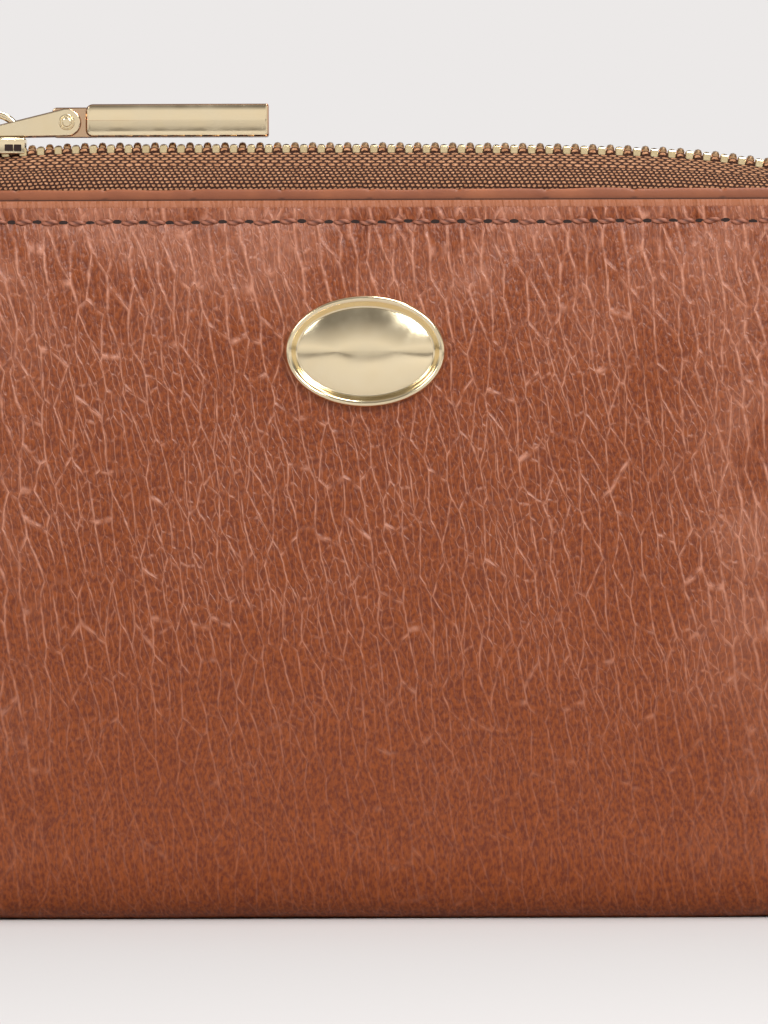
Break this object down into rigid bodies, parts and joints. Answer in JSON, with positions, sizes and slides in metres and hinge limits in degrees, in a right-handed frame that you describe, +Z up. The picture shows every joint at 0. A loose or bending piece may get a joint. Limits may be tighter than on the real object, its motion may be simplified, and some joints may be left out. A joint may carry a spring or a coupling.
{
  "type": "zipped leather wallet",
  "caption": "Slim leather wallet that stands on its folded bottom, closed along the top and one side by a metal zip with a bar puller.",
  "frame": {"origin": "middle of the flat strip of the folded bottom, on which the wallet stands", "axes": "+X to the viewer's right as the front is seen, towards the zipped side; -Y out of the front cover; +Z up"},
  "size_m": [0.1227, 0.0245, 0.1018],
  "materials": {
    "grained_leather": "smooth milled leather, semi-aniline, cross-creased, satin",
    "edge_painted_leather": "smooth leather strip with painted edges, satin",
    "lining_leather": "thin smooth lining leather, matt",
    "lining_cloth": "plain woven polyester lining",
    "fibre_board": "bonded fibre stiffening board, uncoated",
    "zip_tape": "woven polyester zip tape",
    "sewing_thread": "bonded twisted nylon thread",
    "polished_brass": "polished pale gold zip teeth",
    "light_gold_plate": "die-cast zinc, polished, light gold plated",
    "nickel_plated_steel": "nickel plated steel washer"
  },
  "bodies": {
    "back_cover": {"back_leather": "grained_leather", "back_board": "fibre_board", "back_facing": "edge_painted_leather", "back_lining": "lining_cloth", "back_seam_thread": "sewing_thread", "bottom_leather": "grained_leather", "bottom_board": "fibre_board", "bottom_lining": "lining_cloth", "left_gusset": "grained_leather", "card_slot_1": "lining_leather", "card_slot_2": "lining_leather", "card_slot_3": "lining_leather", "coin_pocket": "lining_leather", "zip_tape_back": "zip_tape", "zip_teeth_back": "polished_brass", "top_stop_back": "polished_brass", "bottom_stop": "polished_brass"},
    "front_cover": {"front_leather": "grained_leather", "front_board": "fibre_board", "front_facing": "edge_painted_leather", "front_lining": "lining_cloth", "front_seam_thread": "sewing_thread", "front_slip_pocket": "lining_leather", "zip_tape_front": "zip_tape", "zip_teeth_front": "polished_brass", "top_stop_front": "polished_brass", "badge": "light_gold_plate", "badge_washer_left": "nickel_plated_steel", "badge_washer_right": "nickel_plated_steel"},
    "slider": {"slider_body": "light_gold_plate", "slider_bridge": "light_gold_plate"},
    "pull_link": {"pull_link": "light_gold_plate", "pull_rivet": "light_gold_plate"},
    "pull_bar": {"pull_bar": "light_gold_plate"}
  },
  "joints": [
    {"name": "slider_travel", "type": "slide", "parent": "back_cover", "child": "slider", "axis": [1, 0, 0], "range_m": [0, 0.085], "deforming": ["zip_tape_front", "zip_tape_back", "zip_teeth_front", "zip_teeth_back"]},
    {"name": "cover_open", "type": "hinge", "parent": "back_cover", "child": "front_cover", "pos_m": [0, -0.0055, 0.0055], "axis": [1, 0, 0], "range_deg": [0, 22], "deforming": ["bottom_leather", "bottom_lining", "left_gusset", "zip_tape_front", "zip_teeth_front", "top_stop_front"]},
    {"name": "link_swing", "type": "hinge", "parent": "slider", "child": "pull_link", "pos_m": [-0.04609, 0, 0.09871], "axis": [0, -1, 0], "range_deg": [0, 150]},
    {"name": "bar_swing", "type": "hinge", "parent": "pull_link", "child": "pull_bar", "pos_m": [-0.03739, 0, 0.09982], "axis": [0, -1, 0], "range_deg": [0, 30]}
  ],
  "couplings": [
    {"joint": "cover_open", "follows": "slider_travel", "rad_per_m": 4.5}
  ]
}
